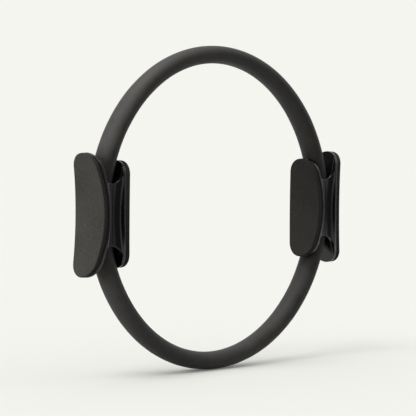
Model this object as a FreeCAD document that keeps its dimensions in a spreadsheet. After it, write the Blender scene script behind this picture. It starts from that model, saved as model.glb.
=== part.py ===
import FreeCAD, Part
import math
import os
import re

import Sketcher
from FreeCAD import Placement, Rotation, Vector

# Driving sizes in millimetres; counts and directions are named further down.
SIZES = {
    # spring bands and foam ring
    "ring_radius": 174.6,
    "band_thickness": 3,
    "band_width": 16,
    "band_end_gap": 2,
    "foam_thickness": 20.3,
    "foam_width": 28.7,
    "foam_slot_play": 0.15,
    "foam_end_run": 32.2,
    # palm pads: outline, hollow and layers
    "outer_pad_length": 133.7,
    "outer_pad_width": 48.5,
    "outer_side_bulge": 4.95,
    "outer_hollow_radius": 184,
    "inner_pad_length": 117,
    "inner_pad_width": 48.8,
    "inner_side_bulge": 4.25,
    "inner_hollow_radius": 205,
    "pad_thickness": 5.5,
    "pad_edge_round": 1.2,
    "adhesive_thickness": 0.3,
    "adhesive_play": 0.1,
    "adhesive_inset": 1,
    # shells: how far their middle lies below the ring's, flanges, waist and mouths
    "handle_drop": 3.2,
    "outer_flange_sink": 6.5,
    "inner_flange_drop": 4.9,
    "flange_thickness": 3,
    "flange_margin": 0.4,
    "lip_round": 0.7,
    "waist_wall": 2.25,
    "waist_side_play": 0.4,
    "waist_round": 7,
    "seam_drop": 5.5,
    "seam_gap": 0.12,
    "mouth_cover": 1.9,
    "mouth_rim_play": 3.4,
    "mouth_play": 0.4,
    "rim_round": 0.9,
    # splice plate, rivets and the ribs that clamp the bands
    "splice_length": 56,
    "splice_thickness": 2,
    "splice_play": 0.05,
    "rivet_pitch": 13.4,
    "rivet_diameter": 4,
    "rivet_head_diameter": 7,
    "rivet_head_height": 1,
    "rivet_tail_diameter": 6,
    "rivet_play": 0.1,
    "rivet_relief": 0.5,
    "rib_spread": 10,
    "rib_width": 2.5,
    "rib_length": 52,
    "clamp_play": 0.1,
    "band_side_play": 0.2,
    # screws that hold the two shells together
    "screw_height": 18,
    "screw_diameter": 3,
    "screw_length": 16,
    "screw_head_diameter": 5.6,
    "screw_head_height": 2,
    "screw_recess_width": 2.6,
    "screw_recess_bar": 0.9,
    "screw_recess_depth": 1.2,
    "screw_play": 0.15,
    "head_cover": 0.4,
    "head_play": 0.3,
    "boss_gap": 0.3,
    "boss_diameter": 6.6,
}

# Room by which cuts run past the solid, and by which a flange is drawn past its pad's face
CUT_MARGIN = 10
FACE_MARGIN = 30
# Sketch references: the origin, the horizontal axis and the vertical axis
ORIGIN = (-1, 1)
ACROSS = -1
UPRIGHT = -2
RIVETS_PER_HANDLE = 4
SCOOP_ANGLE = 26
# How closely a face or an edge is recognised by its size
TOLERANCE = 1e-4

doc = FreeCAD.newDocument("pilates_ring")
sheet = doc.addObject("Spreadsheet::Sheet", "Sizes")
for row, (alias, size) in enumerate(SIZES.items(), start=1):
    sheet.set(f"A{row}", alias)
    sheet.set(f"B{row}", str(size))
    sheet.setAlias(f"B{row}", alias)
doc.recompute()


def sized(text):
    """Put the sheet's name in front of each size in an expression."""
    def named(word):
        return "Sizes." + word[0] if word[0] in SIZES else word[0]

    return re.sub(r"[a-z_]+", named, text)


def number(text):
    """Work out an expression with the sheet's sizes."""
    return float(sheet.evalExpression(sized(text)))


def turn(run):
    """Angle in degrees of a run along the ring's centreline."""
    return f"({run}) / ring_radius * 180 / pi"


# Depths of a grip's layers behind its pad's face
FACE_DEPTH = "0"
PAD_DEPTH = "pad_thickness"
ADHESIVE_FRONT = f"({PAD_DEPTH} + adhesive_play)"
ADHESIVE_BACK = f"({ADHESIVE_FRONT} + adhesive_thickness)"
SEAT_DEPTH = f"({ADHESIVE_BACK} + adhesive_play)"
GRIP_DEPTH = f"({SEAT_DEPTH} + flange_thickness)"

# Places along a handle's X axis, measured from the ring's centre
SEAM = "(ring_radius - seam_drop)"
BAND_OUT = "(ring_radius + band_thickness / 2)"
BAND_IN = "(ring_radius - band_thickness / 2)"
SPLICE_OUT = f"({BAND_IN} - splice_play)"
SPLICE_IN = f"({SPLICE_OUT} - splice_thickness)"
OUTER_BACK = "(ring_radius + foam_thickness / 2 - outer_flange_sink)"
INNER_BACK = "(ring_radius - foam_thickness / 2 - inner_flange_drop)"
OUTER_FACE = f"({OUTER_BACK} + {GRIP_DEPTH})"
INNER_FACE = f"({INNER_BACK} - {GRIP_DEPTH})"
HEAD_SEAT = f"({OUTER_BACK} + flange_thickness - head_cover - screw_head_height)"
SCREW_TIP = f"({HEAD_SEAT} - screw_length)"
HEAD_BORE_DEPTH = "(flange_thickness + outer_pad_length / 2)"

# Where the foam ends inside the handles, along the ring from its level diameter
UPPER_FOAM_END = "(foam_end_run - handle_drop)"
LOWER_FOAM_END = "(foam_end_run + handle_drop)"

# Sizes across a handle
CAVITY_WIDTH = "(foam_width + 2 * waist_side_play)"
WAIST_WIDTH = f"({CAVITY_WIDTH} + 2 * waist_wall)"
MOUTH_RADIUS = "(foam_thickness / 2 + mouth_rim_play)"
MOUTH_CENTRE = f"(foam_end_run + mouth_cover + {MOUTH_RADIUS})"
SCREW_SIDE = "(band_width / 2 + boss_gap + boss_diameter / 2)"


class Grip:
    """One of a handle's two grips: the outer one opens away from the ring, the inner one into it."""

    def __init__(self, name, face, outward):
        self.name = name
        self.face = face
        self.outward = outward
        self.length = f"{name}_pad_length"
        self.width = f"{name}_pad_width"
        self.bulge = f"{name}_side_bulge"
        self.hollow = f"{name}_hollow_radius"

    def surface(self, depth):
        """The hollow surface that lies a depth behind the pad's face."""
        sign = "-" if self.outward > 0 else "+"
        middle = f"({self.face} {sign} {depth})"
        return {"x": middle, "radius": f"({self.hollow} + {depth})", "side": self.outward}

    def middle(self):
        """Where the axis of all the grip's hollow surfaces lies."""
        sign = "+" if self.outward > 0 else "-"
        return f"({self.face} {sign} {self.hollow})"

    def mouth_side(self):
        """Radius, about that axis, of the side of a mouth next to this grip's flange."""
        return f"(sqrt(({SEAM} - {self.middle()}) ^ 2 + {MOUTH_CENTRE} ^ 2) - {MOUTH_RADIUS})"

    def mouth_turn(self):
        """Angle above that axis at which a mouth's round runs into its side."""
        return math.atan2(number(MOUTH_CENTRE), abs(number(f"{SEAM} - {self.middle()}")))

    def beyond(self):
        """A flat edge past everything on the pad's side."""
        return {"x": f"({self.face} + {FACE_MARGIN * self.outward})"}


OUTER = Grip("outer", OUTER_FACE, 1)
INNER = Grip("inner", INNER_FACE, -1)


# Sketch helpers


def plane_of(body, role):
    return next(feature for feature in body.Origin.OriginFeatures if feature.Role == role)


def new_body(label):
    body = doc.addObject("PartDesign::Body", label)
    body.Label = label
    return body


def new_sketch(body, role, name):
    sketch = body.newObject("Sketcher::SketchObject", name)
    sketch.AttachmentSupport = [(plane_of(body, role), "")]
    sketch.MapMode = "FlatFace"
    return sketch


def handle_sketch(body, role, name):
    """A sketch whose origin lies at the handle's middle."""
    sketch = new_sketch(body, role, name)
    sketch.setExpression("AttachmentOffset.Base.y", sized("-handle_drop"))
    return sketch


def hold(sketch, kind, *parts):
    """Add a constraint; its last part is the size that drives it."""
    *refs, size = parts
    index = sketch.addConstraint(Sketcher.Constraint(kind, *refs, number(size)))
    sketch.setExpression(f"Constraints[{index}]", sized(size))


def tie(sketch, kind, *refs):
    sketch.addConstraint(Sketcher.Constraint(kind, *refs))


def place(sketch, geometry, point, across=None, up=None):
    """Hold a sketch point at signed distances from the origin."""
    for kind, distance in (("DistanceX", across), ("DistanceY", up)):
        if distance is None:
            continue
        if number(distance) >= 0:
            hold(sketch, kind, *ORIGIN, geometry, point, distance)
        else:
            hold(sketch, kind, geometry, point, *ORIGIN, f"-({distance})")


def add_line(sketch, start, end):
    return sketch.addGeometry(Part.LineSegment(Vector(*start, 0), Vector(*end, 0)), False)


def add_arc(sketch, centre, radius, start, end):
    circle = Part.Circle(Vector(*centre, 0), Vector(0, 0, 1), radius)
    return sketch.addGeometry(Part.ArcOfCircle(circle, start, end), False)


def add_point(sketch, x, y):
    return sketch.addGeometry(Part.Point(Vector(x, y, 0)), True)


def rectangle(sketch, left, right, low, high):
    """A rectangle whose four sides lie at the given distances from the origin."""
    x0, x1, y0, y1 = number(left), number(right), number(low), number(high)
    corners = ((x0, y0), (x1, y0), (x1, y1), (x0, y1))
    lines = [add_line(sketch, corners[k], corners[(k + 1) % 4]) for k in range(4)]
    for k in range(4):
        tie(sketch, "Coincident", lines[k], 2, lines[(k + 1) % 4], 1)
        tie(sketch, "Horizontal" if k % 2 == 0 else "Vertical", lines[k])
    place(sketch, lines[0], 1, across=left, up=low)
    place(sketch, lines[2], 1, across=right, up=high)


def side_edge(sketch, edge, height):
    """One side of a strip: a straight edge, or an arc whose middle lies on the horizontal axis."""
    middle = number(edge["x"])
    top = number(height)
    if "radius" not in edge:
        line = add_line(sketch, (middle, -top), (middle, top))
        tie(sketch, "Vertical", line)
        place(sketch, line, 1, across=edge["x"])
        return line, 1, 2
    radius = number(edge["radius"])
    half = math.asin(top / radius)
    start = math.pi - half if edge["side"] > 0 else -half
    arc = add_arc(sketch, (middle + edge["side"] * radius, 0), radius, start, start + 2 * half)
    peak = add_point(sketch, middle, 0)
    tie(sketch, "PointOnObject", arc, 3, ACROSS)
    tie(sketch, "PointOnObject", peak, 1, ACROSS)
    tie(sketch, "PointOnObject", peak, 1, arc)
    hold(sketch, "Radius", arc, edge["radius"])
    place(sketch, peak, 1, across=edge["x"])
    return (arc, 2, 1) if edge["side"] > 0 else (arc, 1, 2)


def strip(body, name, left, right, height):
    """A sketch in the ring's plane between two side edges, as far above the axis as below it."""
    sketch = handle_sketch(body, "XZ_Plane", name)
    left_edge, left_low, left_high = side_edge(sketch, left, height)
    right_edge, right_low, right_high = side_edge(sketch, right, height)
    for is_top, left_point, right_point in ((False, left_low, right_low), (True, left_high, right_high)):
        start = sketch.getPoint(left_edge, left_point)
        end = sketch.getPoint(right_edge, right_point)
        line = add_line(sketch, (start.x, start.y), (end.x, end.y))
        tie(sketch, "Coincident", line, 1, left_edge, left_point)
        tie(sketch, "Coincident", line, 2, right_edge, right_point)
        tie(sketch, "Horizontal", line)
        place(sketch, line, 1, up=height if is_top else f"-({height})")
    return sketch


def oblong(sketch, length, width, bulge):
    """A long outline with round ends and sides that bow out by the bulge."""
    half_length = number(length) / 2
    half_width = number(width) / 2
    end = half_width - number(bulge)
    rise = half_length - end
    side = (half_width ** 2 + rise ** 2 - end ** 2) / (2 * (half_width - end))
    meet = math.atan2(rise, side - half_width)
    right = add_arc(sketch, (half_width - side, 0), side, -meet, meet)
    top = add_arc(sketch, (0, rise), end, meet, math.pi - meet)
    left = add_arc(sketch, (side - half_width, 0), side, math.pi - meet, math.pi + meet)
    low = add_arc(sketch, (0, -rise), end, math.pi + meet, 2 * math.pi - meet)
    arcs = (right, top, left, low)
    for k in range(4):
        tie(sketch, "Tangent", arcs[k], 2, arcs[(k + 1) % 4], 1)
    tie(sketch, "PointOnObject", right, 3, ACROSS)
    tie(sketch, "PointOnObject", top, 3, UPRIGHT)
    tie(sketch, "PointOnObject", low, 3, UPRIGHT)
    tie(sketch, "Equal", right, left)
    tie(sketch, "Equal", top, low)
    end_radius = f"({width} / 2 - {bulge})"
    hold(sketch, "Radius", top, end_radius)
    place(sketch, top, 3, up=f"({length} / 2 - {end_radius})")
    widest = add_point(sketch, half_width, 0)
    tie(sketch, "PointOnObject", widest, 1, ACROSS)
    tie(sketch, "PointOnObject", widest, 1, right)
    place(sketch, widest, 1, across=f"({width} / 2)")


def circles(sketch, centres, diameter):
    for across, up in centres:
        circle = Part.Circle(Vector(number(across), number(up), 0), Vector(0, 0, 1), number(diameter) / 2)
        index = sketch.addGeometry(circle, False)
        hold(sketch, "Diameter", index, diameter)
        place(sketch, index, 3, across=across, up=up)


# Feature helpers


def slab(body, name, sketch, width, kind="Pad"):
    """Pad or pocket a sketch by the same width on both sides of its plane."""
    feature = body.newObject("PartDesign::" + kind, name)
    feature.Profile = sketch
    feature.SideType = "Symmetric"
    feature.setExpression("Length", sized(width))
    return feature


def rise(body, name, sketch, length, kind="Pad", reverse=False):
    """Pad or pocket a sketch to one side of its plane."""
    feature = body.newObject("PartDesign::" + kind, name)
    feature.Profile = sketch
    feature.Reversed = reverse
    feature.setExpression("Length", sized(length))
    return feature


def through(body, name, sketch):
    """Cut a sketch right through, both ways."""
    feature = body.newObject("PartDesign::Pocket", name)
    feature.Profile = sketch
    feature.SideType = "Symmetric"
    feature.Type = "ThroughAll"
    return feature


def spin(body, name, sketch, angle, axis="Y_Axis", kind="Revolution"):
    """Turn a sketch about one of the body's axes, half of the angle each way."""
    feature = body.newObject("PartDesign::" + kind, name)
    feature.Profile = sketch
    feature.ReferenceAxis = (plane_of(body, axis), [""])
    feature.Midplane = True
    feature.setExpression("Angle", sized(angle))
    return feature


def rounded(body, name, base, radius, wanted):
    """Round the edges of a feature that the test picks."""
    doc.recompute()
    edges = [f"Edge{k}" for k, edge in enumerate(base.Shape.Edges, start=1) if wanted(edge)]
    feature = body.newObject("PartDesign::Fillet", name)
    feature.Base = (base, edges)
    feature.setExpression("Radius", sized(radius))
    return feature


def lift(sketch, distance):
    """Shift a sketch along its plane's own direction."""
    sketch.setExpression("AttachmentOffset.Base.z", sized(distance))


def swing(sketch, axis, angle):
    """Turn a sketch about an axis of its own plane."""
    sketch.AttachmentOffset = Placement(Vector(0, 0, 0), Rotation(axis, 1))
    sketch.setExpression("AttachmentOffset.Rotation.Angle", sized(angle))


def on_cylinder(edge, shape, radius):
    """Whether an edge bounds a cylindrical face of this radius."""
    for face in shape.ancestorsOfType(edge, Part.Face):
        if isinstance(face.Surface, Part.Cylinder) and abs(face.Surface.Radius - radius) < TOLERANCE:
            return True
    return False


# The ring: two spring bands and two foam sleeves


def ring_section(body, name, low, high, width):
    sketch = new_sketch(body, "YZ_Plane", name)
    rectangle(sketch, f"-({width}) / 2", f"({width}) / 2", low, high)
    return sketch


def rivet_holes(body, angles):
    for count, angle in enumerate(angles, start=1):
        sketch = new_sketch(body, "YZ_Plane", f"{body.Label}_rivet_hole_{count}")
        swing(sketch, Vector(1, 0, 0), angle)
        circles(sketch, [("0", "0")], "(rivet_diameter + 2 * rivet_play)")
        through(body, f"{body.Label}_rivet_bore_{count}", sketch)


def core_band(label, down):
    body = new_body(label)
    sketch = ring_section(body, label + "_section", BAND_IN, BAND_OUT, "band_width")
    spin(body, label + "_arc", sketch, f"180 - {turn('band_end_gap')}")
    near = turn("rivet_pitch / 2")
    far = turn("rivet_pitch * 3 / 2")
    rivet_holes(body, (f"-{near}", f"-{far}", near, far))
    body.Placement = Placement(Vector(0, 0, 0), Rotation(Vector(0, 1, 0), 180 if down else 0))
    return body


def oval(sketch, width, height, up):
    """An ellipse, wider than it is high, on the sketch's vertical axis."""
    shape = Part.Ellipse(Vector(0, number(up), 0), number(width) / 2, number(height) / 2)
    index = sketch.addGeometry(shape, False)
    sketch.exposeInternalGeometry(index)
    long_axis = index + 1
    short_axis = index + 2
    tie(sketch, "Horizontal", long_axis)
    hold(sketch, "Distance", long_axis, width)
    hold(sketch, "Distance", short_axis, height)
    tie(sketch, "PointOnObject", index, 3, UPRIGHT)
    place(sketch, index, 3, up=up)


def foam_sleeve(label, end_run, down):
    body = new_body(label)
    sketch = new_sketch(body, "YZ_Plane", label + "_section")
    oval(sketch, "foam_width", "foam_thickness", "ring_radius")
    half_slot = "(band_width / 2 + foam_slot_play)"
    slot_floor = f"({BAND_IN} - foam_slot_play)"
    slot_roof = f"({BAND_OUT} + foam_slot_play)"
    rectangle(sketch, f"-{half_slot}", half_slot, slot_floor, slot_roof)
    spin(body, label + "_arc", sketch, f"180 - 2 * {turn(end_run)}")
    body.Placement = Placement(Vector(0, 0, 0), Rotation(Vector(0, 1, 0), 180 if down else 0))
    return body


# A handle: shells, pads, adhesive sheets, splice plate, rivets and screws


def trim_outline(body, name, grip, extra):
    """Cut away what lies outside the grip's outline, made larger by extra all round."""
    sketch = handle_sketch(body, "YZ_Plane", name)
    length = f"({grip.length} + 2 * ({extra}))"
    width = f"({grip.width} + 2 * ({extra}))"
    oblong(sketch, length, width, grip.bulge)
    reach = f"({length} + {CUT_MARGIN})"
    rectangle(sketch, f"-{reach}", reach, f"-{reach}", reach)
    return through(body, name + "_cut", sketch)


def grip_layer(label, grip, front, back, extra):
    """A sheet on a grip between two depths behind its pad's face."""
    body = new_body(label)
    near, far = grip.surface(front), grip.surface(back)
    left, right = (far, near) if grip.outward > 0 else (near, far)
    sketch = strip(body, label + "_profile", left, right, f"({grip.length} / 2 + {CUT_MARGIN})")
    slab(body, label + "_sheet", sketch, f"({grip.width} + {CUT_MARGIN})")
    return body, trim_outline(body, label + "_outline", grip, extra)


def palm_pad(label, grip):
    body, outline = grip_layer(label, grip, FACE_DEPTH, PAD_DEPTH, "0")
    doc.recompute()
    face_radius = number(grip.hollow)
    rounded(body, label + "_round", outline, "pad_edge_round",
            lambda edge: on_cylinder(edge, outline.Shape, face_radius))
    return body


def adhesive_sheet(label, grip):
    return grip_layer(label, grip, ADHESIVE_FRONT, ADHESIVE_BACK, "-adhesive_inset")[0]


def screw_places():
    return [(f"{y}{SCREW_SIDE}", f"{z}screw_height") for y in ("", "-") for z in ("", "-")]


def shell(label, grip):
    """Flange, half of the waist, mouths, clamping ribs and screw bosses in one moulding."""
    body = new_body(label)
    outward = grip.outward
    height = f"({grip.length} / 2 + {CUT_MARGIN})"
    sign = "+" if outward > 0 else "-"
    seam = {"x": f"({SEAM} {sign} seam_gap / 2)"}
    past_seam = {"x": f"({SEAM} - {CUT_MARGIN * outward})"}
    back = grip.surface(GRIP_DEPTH)
    seat = grip.surface(SEAT_DEPTH)
    beyond = grip.beyond()

    def across(name, first, second, width, kind="Pad"):
        left, right = (first, second) if outward > 0 else (second, first)
        sketch = strip(body, f"{label}_{name}_profile", left, right, height)
        return slab(body, f"{label}_{name}", sketch, width, kind)

    across("flange", back, beyond, f"({grip.width} + 2 * {CUT_MARGIN})")
    waist = across("waist", seam, beyond, WAIST_WIDTH)
    half_waist = number(WAIST_WIDTH) / 2
    back_radius = number(back["radius"])
    rounded(body, label + "_waist_round", waist, "waist_round",
            lambda edge: isinstance(edge.Curve, Part.Circle)
            and abs(edge.Curve.Radius - back_radius) < TOLERANCE
            and abs(abs(edge.CenterOfMass.y) - half_waist) < TOLERANCE)
    across("cavity", past_seam, back, CAVITY_WIDTH, "Pocket")
    mouths(body, label)
    trim_outline(body, label + "_outline", grip, "flange_margin")
    ribs(body, label, outward)
    bosses(body, label, outward)
    seat_cut = across("seat", seat, beyond, f"({grip.width} + 4 * {CUT_MARGIN})", "Pocket")
    doc.recompute()
    seat_radius = number(seat["radius"])
    rounded(body, label + "_lip", seat_cut, "lip_round",
            lambda edge: on_cylinder(edge, seat_cut.Shape, seat_radius))
    scoops(body, label)
    clamp_channel(body, label, outward)
    screw_holes(body, label, outward)
    return body


def mouths(body, label):
    """Round-bottomed cuts through the waist, above and below, where the foam goes in."""
    sketch = handle_sketch(body, "XZ_Plane", label + "_mouths")
    for up in (1, -1):
        mouth(sketch, up)
    both = through(body, label + "_mouth_cut", sketch)
    doc.recompute()
    radii = [number(radius) for radius in (MOUTH_RADIUS, OUTER.mouth_side(), INNER.mouth_side())]
    rounded(body, label + "_rim", both, "rim_round", lambda edge: is_rim(edge, both.Shape, radii))


def mouth(sketch, up):
    """One mouth: a round, and sides that follow the flanges to past the pads."""
    sign = "" if up > 0 else "-"
    middle = f"{sign}{MOUTH_CENTRE}"
    height = f"{sign}({OUTER.length} / 2 + {CUT_MARGIN})"
    inner_end = math.pi + up * INNER.mouth_turn()
    outer_end = (1 + up) * math.pi - up * OUTER.mouth_turn()
    centre = (number(SEAM), number(middle))
    arc = add_arc(sketch, centre, number(MOUTH_RADIUS), min(inner_end, outer_end), max(inner_end, outer_end))
    hold(sketch, "Radius", arc, MOUTH_RADIUS)
    place(sketch, arc, 3, across=SEAM, up=middle)
    lid_ends = []
    for grip, foot in ((INNER, 1 if up > 0 else 2), (OUTER, 2 if up > 0 else 1)):
        side, near, far = flared_side(sketch, grip, up, height)
        tie(sketch, "Tangent", side, near, arc, foot)
        lid_ends.append((side, far))
    start, end = [sketch.getPoint(*lid_end) for lid_end in lid_ends]
    lid = add_line(sketch, (start.x, start.y), (end.x, end.y))
    for point, lid_end in enumerate(lid_ends, start=1):
        tie(sketch, "Coincident", lid, point, *lid_end)
    tie(sketch, "Horizontal", lid)
    place(sketch, lid, 1, up=height)


def flared_side(sketch, grip, up, height):
    """A mouth's side as an arc about its flange's axis; returns it with its near and its far end."""
    radius = number(grip.mouth_side())
    near = up * grip.mouth_turn()
    far = math.asin(number(height) / radius)
    if grip.outward > 0:
        near, far = math.pi - near, math.pi - far
    arc = add_arc(sketch, (number(grip.middle()), 0), radius, min(near, far), max(near, far))
    tie(sketch, "PointOnObject", arc, 3, ACROSS)
    place(sketch, arc, 3, across=grip.middle())
    return (arc, 1, 2) if near < far else (arc, 2, 1)


def is_rim(edge, shape, radii):
    """Whether an edge runs round a mouth, and not along its depth or on the seam."""
    middle = edge.valueAt((edge.FirstParameter + edge.LastParameter) / 2)
    if abs(middle.x - number(SEAM)) < number("seam_gap"):
        return False
    sides = []
    for face in shape.ancestorsOfType(edge, Part.Face):
        surface = face.Surface
        is_round = isinstance(surface, Part.Cylinder)
        sides.append(is_round and any(abs(surface.Radius - radius) < TOLERANCE for radius in radii))
    return sides.count(True) == 1


def ribs(body, label, outward):
    """Two ribs beside the rivets, which bear on the band or on the splice plate."""
    sketch = new_sketch(body, "YZ_Plane", label + "_rib_feet")
    inside, outside = "(rib_spread / 2)", "(rib_spread / 2 + rib_width)"
    rectangle(sketch, inside, outside, "-rib_length / 2", "rib_length / 2")
    rectangle(sketch, f"-{outside}", f"-{inside}", "-rib_length / 2", "rib_length / 2")
    start = "(sqrt(ring_radius ^ 2 - (rib_length / 2) ^ 2))" if outward > 0 else "ring_radius"
    grow_to_flange(body, label + "_ribs", sketch, start, outward)


def bosses(body, label, outward):
    sketch = handle_sketch(body, "YZ_Plane", label + "_boss_feet")
    circles(sketch, screw_places(), "boss_diameter")
    sign = "+" if outward > 0 else "-"
    grow_to_flange(body, label + "_bosses", sketch, f"({SEAM} {sign} seam_gap / 2)", outward)


def grow_to_flange(body, name, sketch, start, outward):
    """Pad a sketch from its start into the flange; the seat is cut afterwards."""
    lift(sketch, start)
    face = OUTER_FACE if outward > 0 else INNER_FACE
    length = f"({face} - {start})" if outward > 0 else f"({start} - {face})"
    rise(body, name, sketch, length, reverse=outward < 0)


def scoops(body, label):
    """Room for the foam where it lies against the flange, above and below."""
    thickness = "(foam_thickness + 2 * mouth_play)"
    width = "(foam_width + 2 * mouth_play)"
    for level, sign, foam_end in (("upper", "-", UPPER_FOAM_END), ("lower", "", LOWER_FOAM_END)):
        sketch = new_sketch(body, "XY_Plane", f"{label}_{level}_scoop_section")
        start = turn(f"{foam_end} - mouth_play")
        swing(sketch, Vector(0, 1, 0), f"{sign}({start} + {SCOOP_ANGLE / 2})")
        standing_oval(sketch, thickness, width, "ring_radius")
        spin(body, f"{label}_{level}_scoop", sketch, str(SCOOP_ANGLE), kind="Groove")


def standing_oval(sketch, thickness, width, across):
    """An ellipse, higher than it is wide, on the sketch's horizontal axis."""
    centre = Vector(number(across), 0, 0)
    tip = centre + Vector(0, number(width) / 2, 0)
    side = centre - Vector(number(thickness) / 2, 0, 0)
    index = sketch.addGeometry(Part.Ellipse(tip, side, centre), False)
    sketch.exposeInternalGeometry(index)
    long_axis = index + 1
    short_axis = index + 2
    tie(sketch, "Vertical", long_axis)
    hold(sketch, "Distance", long_axis, width)
    hold(sketch, "Distance", short_axis, thickness)
    tie(sketch, "PointOnObject", index, 3, ACROSS)
    place(sketch, index, 3, across=across)


def clamp_channel(body, label, outward):
    """Clear the band's path, so that the ribs end on the band or the splice plate."""
    sketch = new_sketch(body, "XY_Plane", label + "_channel")
    half = "(band_width / 2 + band_side_play)"
    if outward > 0:
        rectangle(sketch, f"({BAND_IN} - {CUT_MARGIN})", f"({BAND_OUT} + clamp_play)", f"-{half}", half)
    else:
        rectangle(sketch, f"({SPLICE_IN} - clamp_play)", f"({BAND_OUT} + {CUT_MARGIN})", f"-{half}", half)
    spin(body, label + "_band_channel", sketch, turn("rib_length + foam_end_run"), kind="Groove")
    if outward > 0:
        relief = new_sketch(body, "XY_Plane", label + "_relief")
        half = "(rivet_head_diameter / 2 + rivet_relief)"
        rectangle(relief, BAND_OUT, f"({BAND_OUT} + rivet_head_height + rivet_relief)", f"-{half}", half)
        row = turn(f"rivet_pitch * {RIVETS_PER_HANDLE}")
        spin(body, label + "_rivet_relief", relief, row, kind="Groove")


def screw_holes(body, label, outward):
    holes = handle_sketch(body, "YZ_Plane", label + "_screw_holes")
    circles(holes, screw_places(), "(screw_diameter + 2 * screw_play)")
    if outward > 0:
        through(body, label + "_screw_bores", holes)
        heads = handle_sketch(body, "YZ_Plane", label + "_head_seats")
        circles(heads, screw_places(), "(screw_head_diameter + 2 * head_play)")
        lift(heads, HEAD_SEAT)
        rise(body, label + "_head_bores", heads, HEAD_BORE_DEPTH, "Pocket", reverse=True)
    else:
        lift(holes, f"({SCREW_TIP} - head_play)")
        rise(body, label + "_screw_bores", holes, f"(screw_length + {CUT_MARGIN})", "Pocket", reverse=True)


def splice_plate(label):
    body = new_body(label)
    sketch = new_sketch(body, "XY_Plane", label + "_section")
    rectangle(sketch, SPLICE_IN, SPLICE_OUT, "-band_width / 2", "band_width / 2")
    spin(body, label + "_arc", sketch, turn("splice_length"))
    near = turn("rivet_pitch / 2")
    far = turn("rivet_pitch * 3 / 2")
    rivet_holes(body, [f"{sign}({swing_angle})" for sign in ("", "-") for swing_angle in (near, far)])
    return body


def splice_rivets(label):
    """Rivets square to the band: a flat head outside, a set tail inside."""
    body = new_body(label)
    sketch = new_sketch(body, "XY_Plane", label + "_profile")
    head_foot = f"({BAND_OUT} + splice_play)"
    head_top = f"({head_foot} + rivet_head_height)"
    tail_foot = f"({SPLICE_IN} - splice_play)"
    tail_end = f"({tail_foot} - rivet_head_height)"
    outline = (
        (tail_end, "0"),
        (tail_end, "(rivet_tail_diameter / 2)"),
        (tail_foot, "(rivet_tail_diameter / 2)"),
        (tail_foot, "(rivet_diameter / 2)"),
        (head_foot, "(rivet_diameter / 2)"),
        (head_foot, "(rivet_head_diameter / 2)"),
        (head_top, "(rivet_head_diameter / 2)"),
        (head_top, "0"),
    )
    polygon(sketch, outline)
    first = spin(body, label + "_first", sketch, "360", axis="X_Axis")
    row = body.newObject("PartDesign::PolarPattern", label + "_row")
    row.Originals = [first]
    row.Axis = (plane_of(body, "Y_Axis"), [""])
    row.Occurrences = RIVETS_PER_HANDLE
    row.setExpression("Angle", sized(turn(f"rivet_pitch * {RIVETS_PER_HANDLE - 1}")))
    body.Tip = row
    return body


def polygon(sketch, corners):
    spots = [(number(x), number(y)) for x, y in corners]
    count = len(spots)
    lines = [add_line(sketch, spots[k], spots[(k + 1) % count]) for k in range(count)]
    for k in range(count):
        tie(sketch, "Coincident", lines[k], 2, lines[(k + 1) % count], 1)
        place(sketch, lines[k], 1, across=corners[k][0], up=corners[k][1])


def shell_screws(label):
    """Four screws, each with a cross recess in its head."""
    body = new_body(label)
    for count, (across, up) in enumerate(screw_places(), start=1):
        shank = handle_sketch(body, "YZ_Plane", f"{label}_shank_{count}")
        circles(shank, [(across, up)], "screw_diameter")
        lift(shank, SCREW_TIP)
        rise(body, f"{label}_pin_{count}", shank, "screw_length")
        head = handle_sketch(body, "YZ_Plane", f"{label}_head_{count}")
        circles(head, [(across, up)], "screw_head_diameter")
        lift(head, HEAD_SEAT)
        rise(body, f"{label}_cap_{count}", head, "screw_head_height")
        cross = (("screw_recess_width", "screw_recess_bar"), ("screw_recess_bar", "screw_recess_width"))
        for bar, (wide, tall) in enumerate(cross, start=1):
            recess = handle_sketch(body, "YZ_Plane", f"{label}_recess_{count}_{bar}")
            rectangle(recess, f"({across} - {wide} / 2)", f"({across} + {wide} / 2)",
                      f"({up} - {tall} / 2)", f"({up} + {tall} / 2)")
            lift(recess, f"({HEAD_SEAT} + screw_head_height - screw_recess_depth)")
            depth = f"(screw_recess_depth + {CUT_MARGIN})"
            rise(body, f"{label}_bar_{count}_{bar}", recess, depth, "Pocket", reverse=True)
    return body


def handle(side):
    """One handle; it is drawn on the ring's right, and the left one is turned half round."""
    facing = Rotation(Vector(0, 0, 1), 180 if side == "left" else 0)
    pieces = []
    for grip in (OUTER, INNER):
        stem = f"{side}_{grip.name}"
        pieces.append(shell(stem + "_shell", grip))
        pieces.append(palm_pad(stem + "_pad", grip))
        pieces.append(adhesive_sheet(stem + "_pad_adhesive", grip))
    pieces.append(splice_plate(side + "_splice_plate"))
    pieces.append(shell_screws(side + "_shell_screws"))
    for piece in pieces:
        piece.Placement = Placement(Vector(0, 0, 0), facing)
    rivets = splice_rivets(side + "_splice_rivets")
    rivets.Placement = Placement(Vector(0, 0, 0), Rotation(Vector(0, 1, 0), 1))
    start = "180" if side == "left" else "0"
    half_row = turn(f"rivet_pitch * {RIVETS_PER_HANDLE - 1} / 2")
    rivets.setExpression("Placement.Rotation.Angle", sized(f"{start} - {half_row}"))
    return pieces + [rivets]


def check(pieces):
    """Stop if a feature failed, or a piece has no sound shape."""
    for item in doc.Objects:
        if "Invalid" in item.State or "Error" in item.State:
            raise RuntimeError(f"{item.Label} failed: {item.State}")
    for piece in pieces:
        if piece.Shape.isNull() or not piece.Shape.isValid() or not piece.Shape.Solids:
            raise RuntimeError(f"{piece.Label} has no sound shape")


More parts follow.
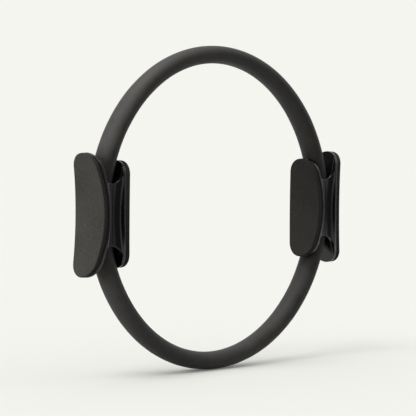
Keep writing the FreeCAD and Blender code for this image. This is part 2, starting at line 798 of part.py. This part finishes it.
pieces = [
    core_band("upper_core_band", False),
    core_band("lower_core_band", True),
    foam_sleeve("upper_foam_sleeve", UPPER_FOAM_END, False),
    foam_sleeve("lower_foam_sleeve", LOWER_FOAM_END, True),
]
for side in ("left", "right"):
    pieces += handle(side)
doc.recompute()
check(pieces)

os.makedirs("parts", exist_ok=True)
for piece in pieces:
    piece.Shape.exportStep(f"parts/{piece.Label}.step")
    print(piece.Label, len(piece.Shape.Solids), round(piece.Shape.Volume, 1))
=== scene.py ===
import math

import bmesh
import bpy
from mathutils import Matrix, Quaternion, Vector, noise


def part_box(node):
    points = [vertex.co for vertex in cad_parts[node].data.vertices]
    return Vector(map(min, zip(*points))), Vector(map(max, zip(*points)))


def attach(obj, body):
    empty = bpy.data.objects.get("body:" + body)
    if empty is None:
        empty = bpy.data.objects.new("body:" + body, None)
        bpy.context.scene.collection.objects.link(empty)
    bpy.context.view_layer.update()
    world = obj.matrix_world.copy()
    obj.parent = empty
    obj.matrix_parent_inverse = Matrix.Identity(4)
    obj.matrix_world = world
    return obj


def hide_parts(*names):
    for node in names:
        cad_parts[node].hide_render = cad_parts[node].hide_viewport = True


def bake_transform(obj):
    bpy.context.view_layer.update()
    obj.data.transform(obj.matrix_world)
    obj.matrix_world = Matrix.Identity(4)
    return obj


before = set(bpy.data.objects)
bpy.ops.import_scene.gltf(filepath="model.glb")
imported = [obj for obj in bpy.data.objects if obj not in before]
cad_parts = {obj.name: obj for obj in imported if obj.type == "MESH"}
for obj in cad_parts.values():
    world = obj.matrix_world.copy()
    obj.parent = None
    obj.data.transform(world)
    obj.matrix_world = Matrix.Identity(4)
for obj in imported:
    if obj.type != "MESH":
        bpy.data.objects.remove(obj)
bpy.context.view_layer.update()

# Sizes of the ring in metres, as in the part's source
RING_RADIUS = 0.1746
FOAM_THICKNESS = 0.0203
FOAM_WIDTH = 0.0287
FOAM_END_RUN = 0.0322
HANDLE_DROP = 0.0032
SLOT_THICKNESS = 0.0033
SLOT_WIDTH = 0.0163

# The sleeves' finer form in metres: round ends, and how deep and how long the foam's uneven waves are
FOAM_END_ROUND = 0.0025
FOAM_UNEVENNESS = 0.00022
FOAM_WAVE = 0.028

# Sizes of the two kinds of palm pad in metres, as in the part's source. The hollow is a radius, the
# face is how far its deepest line lies from the ring's middle plane, and opens is 1 where the hollow
# faces outward and -1 where it faces inward.
PADS = {
    "outer": {
        "length": 0.1337,
        "width": 0.0485,
        "bulge": 0.00495,
        "hollow": 0.184,
        "face": 0.18725,
        "opens": 1,
    },
    "inner": {
        "length": 0.1170,
        "width": 0.0488,
        "bulge": 0.00425,
        "hollow": 0.205,
        "face": 0.15055,
        "opens": -1,
    },
}
PAD_THICKNESS = 0.0055

# The pads' finer form in metres: edges, swollen side and crowned face. A higher power makes the
# crown's middle flatter.
PAD_EDGE_ROUND = 0.0013
PAD_BACK_BEVEL = 0.0004
PAD_SIDE_SWELL = 0.0002
PAD_CROWN = 0.0003
PAD_CROWN_POWER = 4

# Mesh fineness: counts of points or steps, the angle in degrees from which an edge is sharp, and the
# smallest length or share that counts
SECTION_POINTS = 64
SLEEVE_STATIONS = 84
ROUND_STEPS = 6
SIDE_POINTS = 48
END_POINTS = 28
ROW_POINTS = 18
SHARP_ANGLE = 50
TINY = 1e-6

# Materials: colours as a screen shows them, and grains and depths in metres. Roughness goes from the
# first value to the second with the pattern.
FOAMS = {
    "sleeve_foam": {
        "dark": (48, 46, 44),
        "light": (65, 64, 62),
        "grain": 0.0009,
        "depth": 0.00006,
        "blotchiness": 0.4,
        "roughness": (0.55, 0.68),
        "shine": 0.30,
    },
    "palm_foam": {
        "dark": (46, 45, 42),
        "light": (64, 62, 59),
        "grain": 0.0013,
        "depth": 0.00008,
        "blotchiness": 0.2,
        "roughness": (0.75, 0.9),
        "shine": 0.15,
    },
}
STREAKED = {
    "glass_fibre": {
        "dark": (38, 36, 30),
        "light": (66, 62, 52),
        "grain": 0.0006,
        "stretch": (0.05, 1.0, 0.05),
        "depth": 0.00004,
        "roughness": (0.45, 0.6),
        "metallic": 0.0,
    },
    "plated_steel": {
        "dark": (150, 150, 148),
        "light": (196, 196, 192),
        "grain": 0.0005,
        "stretch": (1.0, 0.06, 1.0),
        "depth": 0.00001,
        "roughness": (0.25, 0.42),
        "metallic": 1.0,
    },
    "black_adhesive": {
        "dark": (16, 16, 16),
        "light": (28, 28, 28),
        "grain": 0.0007,
        "stretch": (1.0, 1.0, 1.0),
        "depth": 0.00005,
        "roughness": (0.7, 0.9),
        "metallic": 0.0,
    },
}
SHELL = {
    "dark": (14, 14, 15),
    "light": (22, 21, 22),
    "flow": 0.030,
    "flow_stretch": (1.0, 1.0, 0.25),
    "grain": 0.0012,
    "depth": 0.00001,
    "edge_round": 0.0012,
    "roughness": (0.16, 0.22),
    "shine": 0.45,
}
BACKDROP_SHADE = (245, 245, 240)

# Patterns: the usual range of a noise and of two added up, the layers of finer lumps on its lumps,
# and the foam's blotches and pores in grains
NOISE_RANGE = (0.3, 0.7)
TWO_NOISES_RANGE = (0.7, 1.3)
FOAM_LAYERS = 4.0
FINE_LAYERS = 3.0
SOFT_LAYERS = 2.0
SOFT_CRISPNESS = 0.5
FOAM_CRISPNESS = 0.85
BLOTCH_GRAINS = 24
PORE_GRAINS = 0.8
PORE_REACH = 0.6

# Camera of the photograph: angles in degrees, lengths in metres
CAMERA_AZIMUTH = -44.36
CAMERA_ELEVATION = 2.55
CAMERA_ROLL = 0.535
CAMERA_DISTANCE = 2.162
CAMERA_LENS_MM = 163.7
AIM_LEFT = 0.00716
AIM_DOWN = 0.00025

# Light: at a level of 1 a white surface at the ring's middle that faces the lamp renders white. Places
# and sizes are in metres, places as the camera sees them, and spreads are in degrees.
KEY_LEVEL = 0.66
KEY_SIZE = 1.1
KEY_PLACE = {"left": 0.45, "up": 1.46, "near": 0.0}
SIDE_LEVEL = 0.56
SIDE_SIZE = 0.3
SIDE_PLACE = {"left": 0.40, "up": 0.06, "near": 0.35}
FILL_LEVEL = 0.41
SHADOW_LEVEL = 0.22
SHADOW_SPREAD = 25
SHADOW_FROM = {"left": 0.45, "up": 1.0, "near": 0.58}
SOFT_SPREAD = 175
BASE_LEVEL = 0.06

# Surround that only reflections see, in metres and degrees. Each panel reaches from one angle to
# another, counted from the camera and positive to its right, and its apron lies just over the floor.
SURROUND_RADIUS = 3.0
SURROUND_HEIGHT = 3.0
SURROUND_STEP = 5
SURROUND_PANELS = (
    {"from": -125, "to": -85, "level": 0.1},
    {"from": -85, "to": -20, "level": 1.0},
    {"from": -20, "to": 80, "level": 0.14},
    {"from": 80, "to": 100, "level": 0.5},
    {"from": 100, "to": 115, "level": 1.5},
)
APRON_START = 0.45
APRON_LIFT = 0.002

# Floor: its side in metres, and the share of its colour that it throws back at the ring
FLOOR_SIZE = 60.0
FLOOR_BOUNCE = 0.1


def screen_colour(red, green, blue):
    """A colour as a screen shows it, 0 to 255, turned by the sRGB rule into what a shader takes."""
    linear = []
    for level in (red, green, blue):
        share = level / 255
        linear.append(share / 12.92 if share <= 0.04045 else ((share + 0.055) / 1.055) ** 2.4)
    return (*linear, 1.0)


BACKDROP_COLOUR = screen_colour(*BACKDROP_SHADE)

# Material helpers


class Paint:
    """A procedural material: its node tree, its shader and the place in the object, in metres."""

    def __init__(self, name):
        self.material = bpy.data.materials.new(name)
        self.material.use_nodes = True
        self.tree = self.material.node_tree
        self.shader = self.tree.nodes["Principled BSDF"]
        self.place = self.tree.nodes.new("ShaderNodeTexCoord").outputs["Object"]

    def link(self, output, socket):
        """Let one node's output drive a socket of another."""
        self.tree.links.new(output, socket)

    def set(self, **levels):
        """Set constants on the shader's own sockets."""
        for name, level in levels.items():
            label = name.replace("_", " ").title().replace("Ior", "IOR")
            self.shader.inputs[label].default_value = level

    def stretched(self, scale):
        """The place with each direction scaled by itself."""
        mapping = self.tree.nodes.new("ShaderNodeMapping")
        mapping.inputs["Scale"].default_value = scale
        self.link(self.place, mapping.inputs["Vector"])
        return mapping.outputs["Vector"]

    def noise(self, grain, layers=SOFT_LAYERS, crispness=SOFT_CRISPNESS, place=None):
        """Noise whose lumps are about one grain across, with layers of finer lumps on them."""
        node = self.tree.nodes.new("ShaderNodeTexNoise")
        node.inputs["Scale"].default_value = 1 / grain
        node.inputs["Detail"].default_value = layers
        node.inputs["Roughness"].default_value = crispness
        self.link(place or self.place, node.inputs["Vector"])
        return node.outputs["Fac"]

    def cells(self, grain):
        """Distance from the middle of the nearest foam cell."""
        node = self.tree.nodes.new("ShaderNodeTexVoronoi")
        node.inputs["Scale"].default_value = 1 / grain
        self.link(self.place, node.inputs["Vector"])
        return node.outputs["Distance"]

    def spread(self, value, low, high, usual=NOISE_RANGE):
        """Map a pattern's usual range to the range from low to high."""
        node = self.tree.nodes.new("ShaderNodeMapRange")
        node.inputs["From Min"].default_value = usual[0]
        node.inputs["From Max"].default_value = usual[1]
        node.inputs["To Min"].default_value = low
        node.inputs["To Max"].default_value = high
        self.link(value, node.inputs["Value"])
        return node.outputs["Result"]

    def sum(self, first, second):
        """Two patterns added up."""
        node = self.tree.nodes.new("ShaderNodeMath")
        node.operation = "ADD"
        self.link(first, node.inputs[0])
        self.link(second, node.inputs[1])
        return node.outputs["Value"]

    def colours(self, value, dark, light):
        """Colour that goes from dark to light, as a screen shows them, with a pattern."""
        node = self.tree.nodes.new("ShaderNodeValToRGB")
        for stop, position, shade in zip(node.color_ramp.elements, NOISE_RANGE, (dark, light)):
            stop.position = position
            stop.color = screen_colour(*shade)
        self.link(value, node.inputs["Fac"])
        self.link(node.outputs["Color"], self.shader.inputs["Base Color"])

    def roughness(self, value):
        """Roughness that goes with a pattern."""
        self.link(value, self.shader.inputs["Roughness"])

    def relief(self, height, depth, edge_round=0.0):
        """Raise the surface by a pattern, and let its sharp edges look rounded; both are in metres."""
        node = self.tree.nodes.new("ShaderNodeBump")
        node.inputs["Distance"].default_value = depth
        self.link(height, node.inputs["Height"])
        self.link(node.outputs["Normal"], self.shader.inputs["Normal"])
        if edge_round:
            edges = self.tree.nodes.new("ShaderNodeBevel")
            edges.inputs["Radius"].default_value = edge_round
            self.link(edges.outputs["Normal"], node.inputs["Normal"])


def foam_paint(name):
    """Closed-cell foam: fine cells, faint blotches and a dry surface."""
    foam = FOAMS[name]
    paint = Paint(name)
    fine = paint.noise(foam["grain"], layers=FOAM_LAYERS, crispness=FOAM_CRISPNESS)
    blotches = paint.noise(foam["grain"] * BLOTCH_GRAINS)
    fine_share = paint.spread(fine, 0.0, 1 - foam["blotchiness"])
    blotch_share = paint.spread(blotches, 0.0, foam["blotchiness"])
    paint.colours(paint.sum(fine_share, blotch_share), foam["dark"], foam["light"])
    paint.roughness(paint.spread(blotches, *foam["roughness"]))
    cells = paint.cells(foam["grain"] * PORE_GRAINS)
    pores = paint.spread(cells, 0.0, PORE_REACH, usual=(0.0, PORE_REACH))
    paint.relief(paint.sum(pores, fine), foam["depth"])
    paint.set(specular_ior_level=foam["shine"])
    return paint.material


def shell_paint():
    """Glossy black moulding: faint flow marks and polish that varies a little."""
    paint = Paint("gloss_black_plastic")
    flow = paint.noise(SHELL["flow"], place=paint.stretched(SHELL["flow_stretch"]))
    fine = paint.noise(SHELL["grain"], layers=FINE_LAYERS)
    paint.colours(flow, SHELL["dark"], SHELL["light"])
    paint.roughness(paint.spread(paint.sum(flow, fine), *SHELL["roughness"], usual=TWO_NOISES_RANGE))
    paint.relief(fine, SHELL["depth"], edge_round=SHELL["edge_round"])
    paint.set(specular_ior_level=SHELL["shine"])
    return paint.material


def streaked_paint(name):
    """One pattern for colour, roughness and relief: fibres along a band, brushing or plain grain."""
    look = STREAKED[name]
    paint = Paint(name)
    streaks = paint.noise(look["grain"], layers=FINE_LAYERS, place=paint.stretched(look["stretch"]))
    paint.colours(streaks, look["dark"], look["light"])
    paint.roughness(paint.spread(streaks, *look["roughness"]))
    paint.relief(streaks, look["depth"])
    paint.set(metallic=look["metallic"])
    return paint.material


# Mesh helpers


def new_piece(name, mesh_edit, material):
    """Turn an edited mesh into a smooth object with sharp corners kept."""
    bmesh.ops.recalc_face_normals(mesh_edit, faces=mesh_edit.faces)
    mesh = bpy.data.meshes.new(name)
    mesh_edit.to_mesh(mesh)
    mesh_edit.free()
    mesh.shade_smooth()
    mesh.set_sharp_from_angle(angle=math.radians(SHARP_ANGLE))
    mesh.materials.append(material)
    piece = bpy.data.objects.new(name, mesh)
    bpy.context.scene.collection.objects.link(piece)
    return piece


def bridge(edit, first, second):
    """Faces between two closed loops with as many points."""
    count = len(first)
    for k in range(count):
        after = (k + 1) % count
        edit.faces.new((first[k], first[after], second[after], second[k]))


# Foam sleeves and spring bands, each in two halves that meet at the ring's crown or foot


def foam_offset(point):
    """How far the foam's surface lies below its true oval, as soft foam is never quite even."""
    return FOAM_UNEVENNESS * 0.5 * (1 + noise.noise(point / FOAM_WAVE))


def ring_point(angle, side, up, radial, across):
    """A point of the ring: the angle runs from its crown or foot towards a handle."""
    reach = RING_RADIUS + radial
    return Vector((side * reach * math.sin(angle), across, up * reach * math.cos(angle)))


def sleeve_stations(up):
    """Angles along half a sleeve, each with how far the rounded end draws the surface in."""
    end = math.pi / 2 - (FOAM_END_RUN - up * HANDLE_DROP) / RING_RADIUS
    straight = end - FOAM_END_ROUND / RING_RADIUS
    stations = [(straight * k / SLEEVE_STATIONS, 0.0) for k in range(SLEEVE_STATIONS)]
    for k in range(ROUND_STEPS + 1):
        turn = math.pi / 2 * k / ROUND_STEPS
        angle = straight + FOAM_END_ROUND * math.sin(turn) / RING_RADIUS
        stations.append((angle, FOAM_END_ROUND * (1 - math.cos(turn))))
    return stations


def sleeve_loop(edit, angle, drawn_in, side, up):
    """The foam's oval section at one angle, a little uneven."""
    loop = []
    for k in range(SECTION_POINTS):
        turn = 2 * math.pi * k / SECTION_POINTS
        half_width = FOAM_WIDTH / 2 - drawn_in
        half_thickness = FOAM_THICKNESS / 2 - drawn_in
        true = ring_point(angle, side, up, half_thickness * math.sin(turn), half_width * math.cos(turn))
        share = 1 - foam_offset(true) / half_thickness
        radial = share * half_thickness * math.sin(turn)
        across = share * half_width * math.cos(turn)
        loop.append(edit.verts.new(ring_point(angle, side, up, radial, across)))
    return loop


def slot_loop(edit, angle, side, up):
    """The oblong hole that the spring band lies in."""
    loop = []
    for k in range(SECTION_POINTS):
        turn = 2 * math.pi * k / SECTION_POINTS
        across = math.cos(turn)
        radial = math.sin(turn)
        side_reach = SLOT_WIDTH / 2 / max(abs(across), TINY)
        flat_reach = SLOT_THICKNESS / 2 / max(abs(radial), TINY)
        reach = min(side_reach, flat_reach)
        loop.append(edit.verts.new(ring_point(angle, side, up, reach * radial, reach * across)))
    return loop


def bend(piece):
    """Bake the piece's placement into its mesh."""
    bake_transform(piece)


def sleeve_half(name, node, side, up, material):
    """The half of a foam sleeve on one side, with the hole for its spring band."""
    edit = bmesh.new()
    stations = sleeve_stations(up)
    skins = [sleeve_loop(edit, angle, drawn_in, side, up) for angle, drawn_in in stations]
    slots = [slot_loop(edit, angle, side, up) for angle, drawn_in in stations]
    for loops in (skins, slots):
        for first, second in zip(loops, loops[1:]):
            bridge(edit, first, second)
    bridge(edit, skins[0], slots[0])
    bridge(edit, skins[-1], slots[-1])
    piece = new_piece(name, edit, material)
    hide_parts(node)
    bend(piece)
    return piece


def band_half(name, node, side, material):
    """The part of a spring band on one side, cut from the CAD band with its rivet holes."""
    edit = bmesh.new()
    edit.from_mesh(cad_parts[node].data)
    bmesh.ops.remove_doubles(edit, verts=edit.verts, dist=TINY)
    everything = edit.verts[:] + edit.edges[:] + edit.faces[:]
    bmesh.ops.bisect_plane(
        edit, geom=everything, plane_co=(0, 0, 0), plane_no=(side, 0, 0), clear_inner=True
    )
    open_edges = [edge for edge in edit.edges if edge.is_boundary]
    bmesh.ops.holes_fill(edit, edges=open_edges)
    piece = new_piece(name, edit, material)
    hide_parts(node)
    bend(piece)
    return piece


# Palm pads


class Outline:
    """A long outline with round ends and bowed sides, as four arcs that can be drawn in evenly."""

    def __init__(self, pad):
        self.half_width = pad["width"] / 2
        self.end = self.half_width - pad["bulge"]
        self.rise = pad["length"] / 2 - self.end
        self.side = (self.half_width ** 2 + self.rise ** 2 - self.end ** 2) / (2 * pad["bulge"])
        self.meet = math.atan2(self.rise, self.side - self.half_width)

    def right_half(self, drawn_in):
        """Points (across, up) from the foot to the top, on the right."""
        points = []
        for k in range(END_POINTS + 1):
            turn = -math.pi / 2 + (math.pi / 2 - self.meet) * k / END_POINTS
            points.append(self.on_arc(0, -self.rise, self.end - drawn_in, turn))
        for k in range(1, SIDE_POINTS):
            turn = -self.meet + 2 * self.meet * k / SIDE_POINTS
            points.append(self.on_arc(self.half_width - self.side, 0, self.side - drawn_in, turn))
        for k in range(END_POINTS + 1):
            turn = self.meet + (math.pi / 2 - self.meet) * k / END_POINTS
            points.append(self.on_arc(0, self.rise, self.end - drawn_in, turn))
        return points

    @staticmethod
    def on_arc(across, up, radius, turn):
        """The point (across, up) of an arc round a centre."""
        return across + radius * math.cos(turn), up + radius * math.sin(turn)

    def loop(self, drawn_in):
        """The whole outline, drawn in evenly."""
        right = self.right_half(drawn_in)
        left = [(-across, up) for across, up in reversed(right[1:-1])]
        return right + left


def pad_point(pad, side, depth, across, up):
    """A point at a depth behind the pad's hollow face; up is measured from the handle's middle."""
    centre = pad["face"] + pad["opens"] * pad["hollow"]
    out = centre - pad["opens"] * math.sqrt((pad["hollow"] + depth) ** 2 - up ** 2)
    return Vector((side * out, across, up - HANDLE_DROP))


def pad_profile():
    """(how far drawn in, depth) from the pad's back edge over its side to its face."""
    side_start = PAD_THICKNESS - PAD_BACK_BEVEL
    profile = [(PAD_BACK_BEVEL, PAD_THICKNESS), (0.0, side_start)]
    straight = side_start - PAD_EDGE_ROUND
    for k in range(1, ROUND_STEPS):
        share = k / ROUND_STEPS
        swell = PAD_SIDE_SWELL * math.sin(math.pi * share)
        profile.append((-swell, side_start - straight * share))
    for k in range(ROUND_STEPS + 1):
        turn = math.pi / 2 * k / ROUND_STEPS
        drawn_in = PAD_EDGE_ROUND * (1 - math.cos(turn))
        profile.append((drawn_in, PAD_EDGE_ROUND * (1 - math.sin(turn))))
    return profile


def fill_rows(edit, pad, side, loop, half, depth, crown):
    """Fill a closed outline with level rows of points between its right and left edge."""
    right = loop[:half]
    left = [right[0]] + loop[:half - 1:-1] + [right[-1]]
    rows = []
    for k in range(half):
        if right[k] is left[k]:
            rows.append([right[k]])
            continue
        row = [right[k]]
        reach = right[k].co.y
        up = right[k].co.z + HANDLE_DROP
        for column in range(1, ROW_POINTS):
            share = 1 - 2 * column / ROW_POINTS
            along = 2 * up / pad["length"]
            rise = crown * (1 - share ** PAD_CROWN_POWER) * (1 - along ** PAD_CROWN_POWER)
            row.append(edit.verts.new(pad_point(pad, side, depth - rise, reach * share, up)))
        rows.append(row + [left[k]])
    for low, high in zip(rows, rows[1:]):
        for column in range(ROW_POINTS):
            corners = []
            for row, place in ((low, column), (low, column + 1), (high, column + 1), (high, column)):
                corners.append(row[min(place, len(row) - 1)])
            edit.faces.new(list(dict.fromkeys(corners)))


def palm_pad(name, node, kind, side, handle, material):
    """A moulded foam pad: flat back, slightly swollen side, round edge and faintly crowned face."""
    pad = PADS[kind]
    outline = Outline(pad)
    edit = bmesh.new()
    loops = []
    for drawn_in, depth in pad_profile():
        points = outline.loop(drawn_in)
        loops.append([edit.verts.new(pad_point(pad, side, depth, *point)) for point in points])
    for first, second in zip(loops, loops[1:]):
        bridge(edit, first, second)
    half = len(outline.right_half(0.0))
    for loop, depth, crown in ((loops[0], PAD_THICKNESS, 0.0), (loops[-1], 0.0, PAD_CROWN)):
        fill_rows(edit, pad, side, loop, half, depth, crown)
    piece = new_piece(name, edit, material)
    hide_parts(node)
    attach(piece, handle)
    return piece


# The stage: floor, world, light and camera


def stage_object(name, edit, material):
    """Turn an edited mesh into a part of the stage, which isn't part of the object."""
    mesh = bpy.data.meshes.new(name)
    edit.to_mesh(mesh)
    edit.free()
    mesh.materials.append(material)
    item = bpy.data.objects.new(name, mesh)
    bpy.context.scene.collection.objects.link(item)
    return item


def seen_or_mirrored(tree):
    """1 for rays from the camera and for reflections, 0 for the light on other surfaces."""
    path = tree.nodes.new("ShaderNodeLightPath")
    seen = path.outputs["Is Camera Ray"]
    for name in ("Is Glossy Ray", "Is Transmission Ray"):
        either = tree.nodes.new("ShaderNodeMath")
        either.operation = "MAXIMUM"
        tree.links.new(seen, either.inputs[0])
        tree.links.new(path.outputs[name], either.inputs[1])
        seen = either.outputs["Value"]
    return seen


def two_colours(tree, seen, unseen):
    """One colour for what is seen or mirrored, and another for the light on other surfaces."""
    mix = tree.nodes.new("ShaderNodeMix")
    mix.data_type = "RGBA"
    mix.inputs["A"].default_value = unseen
    mix.inputs["B"].default_value = seen
    tree.links.new(seen_or_mirrored(tree), mix.inputs["Factor"])
    return mix.outputs["Result"]


def studio_floor():
    """A pale floor under the ring's foot, which throws little light back at the ring."""
    edit = bmesh.new()
    bmesh.ops.create_grid(edit, x_segments=1, y_segments=1, size=FLOOR_SIZE / 2)
    material = bpy.data.materials.new("pale_floor")
    material.use_nodes = True
    tree = material.node_tree
    shader = tree.nodes["Principled BSDF"]
    dim = [level * FLOOR_BOUNCE for level in BACKDROP_COLOUR[:3]] + [1.0]
    tree.links.new(two_colours(tree, BACKDROP_COLOUR, dim), shader.inputs["Base Color"])
    shader.inputs["Roughness"].default_value = 1.0
    shader.inputs["Specular IOR Level"].default_value = 0.0
    floor = stage_object("floor", edit, material)
    floor.location.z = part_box("lower_foam_sleeve")[0].z
    return floor


def studio_world():
    """A pale backdrop for what is seen or mirrored, and a dimmer soft fill for the rest."""
    world = bpy.data.worlds.new("studio")
    bpy.context.scene.world = world
    world.use_nodes = True
    tree = world.node_tree
    background = tree.nodes["Background"]
    fill = (FILL_LEVEL, FILL_LEVEL, FILL_LEVEL, 1.0)
    tree.links.new(two_colours(tree, BACKDROP_COLOUR, fill), background.inputs["Color"])


def surround(floor):
    """Dark curtains and light strips round the ring, with aprons on the floor, for reflections alone."""
    foot = floor.location.z + APRON_LIFT
    profile = (
        (APRON_START, foot),
        (SURROUND_RADIUS, foot),
        (SURROUND_RADIUS, SURROUND_HEIGHT),
    )
    for count, panel in enumerate(SURROUND_PANELS, start=1):
        edit = bmesh.new()
        columns = []
        for angle in range(panel["from"], panel["to"] + 1, SURROUND_STEP):
            turn = math.radians(CAMERA_AZIMUTH + angle)
            out = Vector((math.sin(turn), -math.cos(turn), 0))
            points = [out * reach + Vector((0, 0, up)) for reach, up in profile]
            columns.append([edit.verts.new(point) for point in points])
        for first, second in zip(columns, columns[1:]):
            for k in range(len(profile) - 1):
                edit.faces.new((first[k], second[k], second[k + 1], first[k + 1]))
        material = bpy.data.materials.new(f"surround_{count}")
        material.use_nodes = True
        shader = material.node_tree.nodes["Principled BSDF"]
        shader.inputs["Base Color"].default_value = (0.0, 0.0, 0.0, 1.0)
        shader.inputs["Specular IOR Level"].default_value = 0.0
        shader.inputs["Emission Color"].default_value = (1.0, 1.0, 1.0, 1.0)
        shader.inputs["Emission Strength"].default_value = panel["level"]
        item = stage_object(f"surround_{count}", edit, material)
        item.visible_camera = False
        item.visible_diffuse = False
        item.visible_shadow = False


def from_camera(left, up, near):
    """A place or direction given as the camera sees it, in the row frame."""
    azimuth = math.radians(CAMERA_AZIMUTH)
    leftward = Vector((-math.cos(azimuth), -math.sin(azimuth), 0))
    nearer = Vector((math.sin(azimuth), -math.cos(azimuth), 0))
    return leftward * left + nearer * near + Vector((0, 0, up))


def hang_lamp(light, place, receiver, state):
    """Aim a lamp at the ring's middle; it lights the receiver alone, or all but the receiver."""
    lamp = bpy.data.objects.new(light.name, light)
    lamp.location = place
    lamp.rotation_mode = "QUATERNION"
    lamp.rotation_quaternion = (-place).to_track_quat("-Z", "Y")
    bpy.context.scene.collection.objects.link(lamp)
    group = bpy.data.collections.new(light.name + "_receivers")
    group.objects.link(receiver)
    group.collection_objects[0].light_linking.link_state = state
    lamp.light_linking.receiver_collection = group
    return lamp


def soft_box(name, place, size, level, floor, mirrored):
    """A round soft box for all but the floor. Where it isn't mirrored, reflections don't see it."""
    light = bpy.data.lights.new(name, "AREA")
    light.shape = "DISK"
    light.size = size
    light.energy = level * (math.pi * place.length) ** 2
    lamp = hang_lamp(light, place, floor, "EXCLUDE")
    lamp.visible_glossy = mirrored


def floor_lights(floor):
    """Even light on the floor alone, partly from the left and front, so that a soft shadow shows."""
    towards = from_camera(**SHADOW_FROM).normalized()
    above = Vector((0, 0, 1))
    soft_level = 1 - FILL_LEVEL - SHADOW_LEVEL * towards.z - BASE_LEVEL
    for name, place, level, spread, shadow in (
        ("shadow", towards, SHADOW_LEVEL, SHADOW_SPREAD, True),
        ("soft", above, soft_level, SOFT_SPREAD, True),
        ("base", above, BASE_LEVEL, 0, False),
    ):
        light = bpy.data.lights.new(name, "SUN")
        light.energy = level * math.pi
        light.angle = math.radians(spread)
        light.use_shadow = shadow
        hang_lamp(light, place, floor, "INCLUDE")


def photo_camera():
    """The photograph's camera, placed round the ring's middle and aimed a little off it."""
    azimuth = math.radians(CAMERA_AZIMUTH)
    elevation = math.radians(CAMERA_ELEVATION)
    level_reach = math.cos(elevation)
    back = Vector((
        math.sin(azimuth) * level_reach,
        -math.cos(azimuth) * level_reach,
        math.sin(elevation),
    ))
    right = Vector((math.cos(azimuth), math.sin(azimuth), 0))
    aim = -right * AIM_LEFT - Vector((0, 0, AIM_DOWN))
    data = bpy.data.cameras.new("camera")
    data.lens = CAMERA_LENS_MM
    data.clip_end = FLOOR_SIZE * 2
    camera = bpy.data.objects.new("camera", data)
    camera.location = back * CAMERA_DISTANCE
    camera.rotation_mode = "QUATERNION"
    level = (aim - camera.location).to_track_quat("-Z", "Y")
    camera.rotation_quaternion = level @ Quaternion((0, 0, 1), math.radians(CAMERA_ROLL))
    bpy.context.scene.collection.objects.link(camera)
    bpy.context.scene.camera = camera


# The making of the scene

sleeve_foam = foam_paint("sleeve_foam")
palm_foam = foam_paint("palm_foam")
glass_fibre = streaked_paint("glass_fibre")
steel = streaked_paint("plated_steel")
node_paints = {
    "shell": shell_paint(),
    "adhesive": streaked_paint("black_adhesive"),
    "plate": steel,
    "rivets": steel,
    "screws": steel,
}

for name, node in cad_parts.items():
    kind = name.rsplit("_", 1)[-1]
    if kind in node_paints:
        node.data.materials.clear()
        node.data.materials.append(node_paints[kind])

for hand, side in (("left", -1), ("right", 1)):
    handle = hand + "_handle"
    for level, up in (("upper", 1), ("lower", -1)):
        sleeve_half(f"{level}_{hand}_sleeve", f"{level}_foam_sleeve", side, up, sleeve_foam)
        band_half(f"{level}_{hand}_band", f"{level}_core_band", side, glass_fibre)
    for kind in PADS:
        palm_pad(f"{hand}_{kind}_palm_foam", f"{hand}_{kind}_pad", kind, side, handle, palm_foam)

floor = studio_floor()
studio_world()
surround(floor)
soft_box("key", from_camera(**KEY_PLACE), KEY_SIZE, KEY_LEVEL, floor, mirrored=True)
soft_box("side", from_camera(**SIDE_PLACE), SIDE_SIZE, SIDE_LEVEL, floor, mirrored=False)
floor_lights(floor)
photo_camera()
bpy.context.scene.view_settings.view_transform = "Standard"
